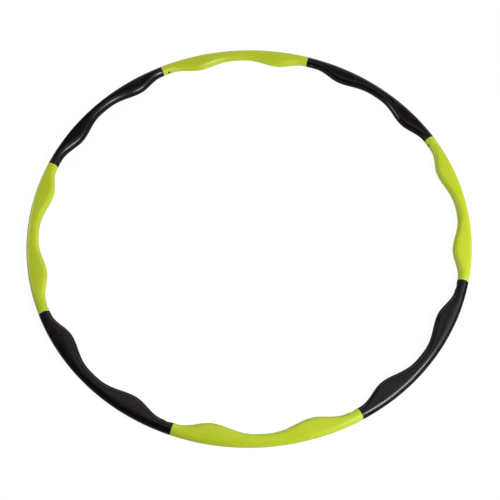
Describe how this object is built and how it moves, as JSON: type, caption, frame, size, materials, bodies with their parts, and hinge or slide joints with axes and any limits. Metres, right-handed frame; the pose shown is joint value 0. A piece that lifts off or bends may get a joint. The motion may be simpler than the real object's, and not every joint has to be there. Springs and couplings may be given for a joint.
{
  "type": "take-apart exercise hoop",
  "caption": "Waved foam exercise hoop that takes apart into curved sections, each locked to the next by a plug and a spring button.",
  "frame": {"origin": "centre of the hoop on the surface that it lies on", "axes": "+Z is the hoop's axis, up; +X points at the joint between the last section and section 1; sections run clockwise from there, seen from above"},
  "size_m": [1, 1, 0.024],
  "materials": {
    "foam_lime": "satin",
    "foam_black": "satin",
    "tube_steel": "satin",
    "plug_nylon": "satin",
    "clip_spring_steel": "gloss",
    "pin_steel": "gloss"
  },
  "bodies": {
    "section_1": {"foam_sleeve_1": "foam_black", "core_tube_1": "tube_steel", "plug_1": "plug_nylon", "plug_pin_1": "pin_steel"},
    "section_2": {"foam_sleeve_2": "foam_lime", "core_tube_2": "tube_steel", "plug_2": "plug_nylon", "plug_pin_2": "pin_steel"},
    "section_3": {"foam_sleeve_3": "foam_black", "core_tube_3": "tube_steel", "plug_3": "plug_nylon", "plug_pin_3": "pin_steel"},
    "section_4": {"foam_sleeve_4": "foam_lime", "core_tube_4": "tube_steel", "plug_4": "plug_nylon", "plug_pin_4": "pin_steel"},
    "section_5": {"foam_sleeve_5": "foam_black", "core_tube_5": "tube_steel", "plug_5": "plug_nylon", "plug_pin_5": "pin_steel"},
    "section_6": {"foam_sleeve_6": "foam_lime", "core_tube_6": "tube_steel", "plug_6": "plug_nylon", "plug_pin_6": "pin_steel"},
    "section_7": {"foam_sleeve_7": "foam_black", "core_tube_7": "tube_steel", "plug_7": "plug_nylon", "plug_pin_7": "pin_steel"},
    "section_8": {"foam_sleeve_8": "foam_lime", "core_tube_8": "tube_steel", "plug_8": "plug_nylon", "plug_pin_8": "pin_steel"},
    "button_1": {"snap_clip_1": "clip_spring_steel"},
    "button_2": {"snap_clip_2": "clip_spring_steel"},
    "button_3": {"snap_clip_3": "clip_spring_steel"},
    "button_4": {"snap_clip_4": "clip_spring_steel"},
    "button_5": {"snap_clip_5": "clip_spring_steel"},
    "button_6": {"snap_clip_6": "clip_spring_steel"},
    "button_7": {"snap_clip_7": "clip_spring_steel"},
    "button_8": {"snap_clip_8": "clip_spring_steel"}
  },
  "joints": [
    {"name": "pull_apart_1", "type": "slide", "parent": "section_1", "child": "section_2", "axis": [-0.725, -0.6888, 0], "range_m": [0, 0.05]},
    {"name": "pull_apart_2", "type": "slide", "parent": "section_2", "child": "section_3", "axis": [-0.9997, 0.0256, 0], "range_m": [0, 0.05]},
    {"name": "pull_apart_3", "type": "slide", "parent": "section_3", "child": "section_4", "axis": [-0.6888, 0.725, 0], "range_m": [0, 0.05]},
    {"name": "pull_apart_4", "type": "slide", "parent": "section_4", "child": "section_5", "axis": [0.0256, 0.9997, 0], "range_m": [0, 0.05]},
    {"name": "pull_apart_5", "type": "slide", "parent": "section_5", "child": "section_6", "axis": [0.725, 0.6888, 0], "range_m": [0, 0.05]},
    {"name": "pull_apart_6", "type": "slide", "parent": "section_6", "child": "section_7", "axis": [0.9997, -0.0256, 0], "range_m": [0, 0.05]},
    {"name": "pull_apart_7", "type": "slide", "parent": "section_7", "child": "section_8", "axis": [0.6888, -0.725, 0], "range_m": [0, 0.05]},
    {"name": "button_press_1", "type": "hinge", "parent": "section_1", "child": "button_1", "pos_m": [0.35355, -0.33658, 0.012], "axis": [0, 0, 1], "range_deg": [0, 7.5], "stiffness_Nm_per_rad": 2.4, "springref_deg": -1.15, "deforming": ["snap_clip_1"]},
    {"name": "button_press_2", "type": "hinge", "parent": "section_2", "child": "button_2", "pos_m": [0.012, -0.488, 0.012], "axis": [0, 0, 1], "range_deg": [0, 7.5], "stiffness_Nm_per_rad": 2.4, "springref_deg": -1.15, "deforming": ["snap_clip_2"]},
    {"name": "button_press_3", "type": "hinge", "parent": "section_3", "child": "button_3", "pos_m": [-0.33658, -0.35355, 0.012], "axis": [0, 0, 1], "range_deg": [0, 7.5], "stiffness_Nm_per_rad": 2.4, "springref_deg": -1.15, "deforming": ["snap_clip_3"]},
    {"name": "button_press_4", "type": "hinge", "parent": "section_4", "child": "button_4", "pos_m": [-0.488, -0.012, 0.012], "axis": [0, 0, 1], "range_deg": [0, 7.5], "stiffness_Nm_per_rad": 2.4, "springref_deg": -1.15, "deforming": ["snap_clip_4"]},
    {"name": "button_press_5", "type": "hinge", "parent": "section_5", "child": "button_5", "pos_m": [-0.35355, 0.33658, 0.012], "axis": [0, 0, 1], "range_deg": [0, 7.5], "stiffness_Nm_per_rad": 2.4, "springref_deg": -1.15, "deforming": ["snap_clip_5"]},
    {"name": "button_press_6", "type": "hinge", "parent": "section_6", "child": "button_6", "pos_m": [-0.012, 0.488, 0.012], "axis": [0, 0, 1], "range_deg": [0, 7.5], "stiffness_Nm_per_rad": 2.4, "springref_deg": -1.15, "deforming": ["snap_clip_6"]},
    {"name": "button_press_7", "type": "hinge", "parent": "section_7", "child": "button_7", "pos_m": [0.33658, 0.35355, 0.012], "axis": [0, 0, 1], "range_deg": [0, 7.5], "stiffness_Nm_per_rad": 2.4, "springref_deg": -1.15, "deforming": ["snap_clip_7"]},
    {"name": "button_press_8", "type": "hinge", "parent": "section_8", "child": "button_8", "pos_m": [0.488, 0.012, 0.012], "axis": [0, 0, 1], "range_deg": [0, 7.5], "stiffness_Nm_per_rad": 2.4, "springref_deg": -1.15, "deforming": ["snap_clip_8"]}
  ],
  "couplings": [
    {"joint": "pull_apart_2", "follows": "pull_apart_1", "ratio": 1},
    {"joint": "pull_apart_3", "follows": "pull_apart_1", "ratio": 1},
    {"joint": "pull_apart_4", "follows": "pull_apart_1", "ratio": 1},
    {"joint": "pull_apart_5", "follows": "pull_apart_1", "ratio": 1},
    {"joint": "pull_apart_6", "follows": "pull_apart_1", "ratio": 1},
    {"joint": "pull_apart_7", "follows": "pull_apart_1", "ratio": 1}
  ]
}
